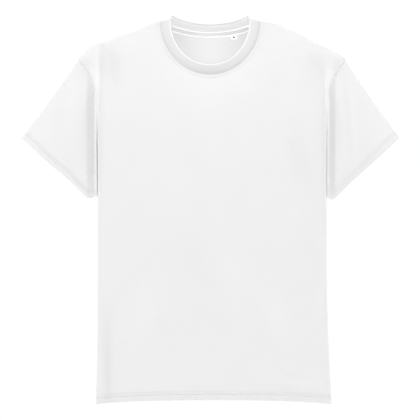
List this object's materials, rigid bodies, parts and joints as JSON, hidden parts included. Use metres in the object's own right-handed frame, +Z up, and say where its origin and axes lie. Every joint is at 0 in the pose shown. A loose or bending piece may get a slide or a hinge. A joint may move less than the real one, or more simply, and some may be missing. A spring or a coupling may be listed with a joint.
{
  "type": "crew neck t-shirt",
  "caption": "Short-sleeved crew neck t-shirt in plain white jersey, hollow and filled out in its worn shape, with a ribbed neckband.",
  "frame": {"origin": "in the body's middle plane, level with the two points where the shoulder seams meet the neckband, where the shirt hangs on its wearer's shoulders", "axes": "+X to the wearer's left, -Y to the front, +Z up"},
  "size_m": [0.7195, 0.211, 0.7427],
  "materials": {
    "jersey": "matt cotton single jersey",
    "rib": "matt cotton rib, folded double",
    "tape": "matt cotton jersey tape",
    "tab": "smooth woven tab, blank"
  },
  "bodies": {
    "root": {"front": "jersey", "back": "jersey", "sleeve_left": "jersey", "sleeve_right": "jersey", "neck_rib": "rib", "neck_tape": "tape", "tab": "tab"}
  },
  "joints": []
}
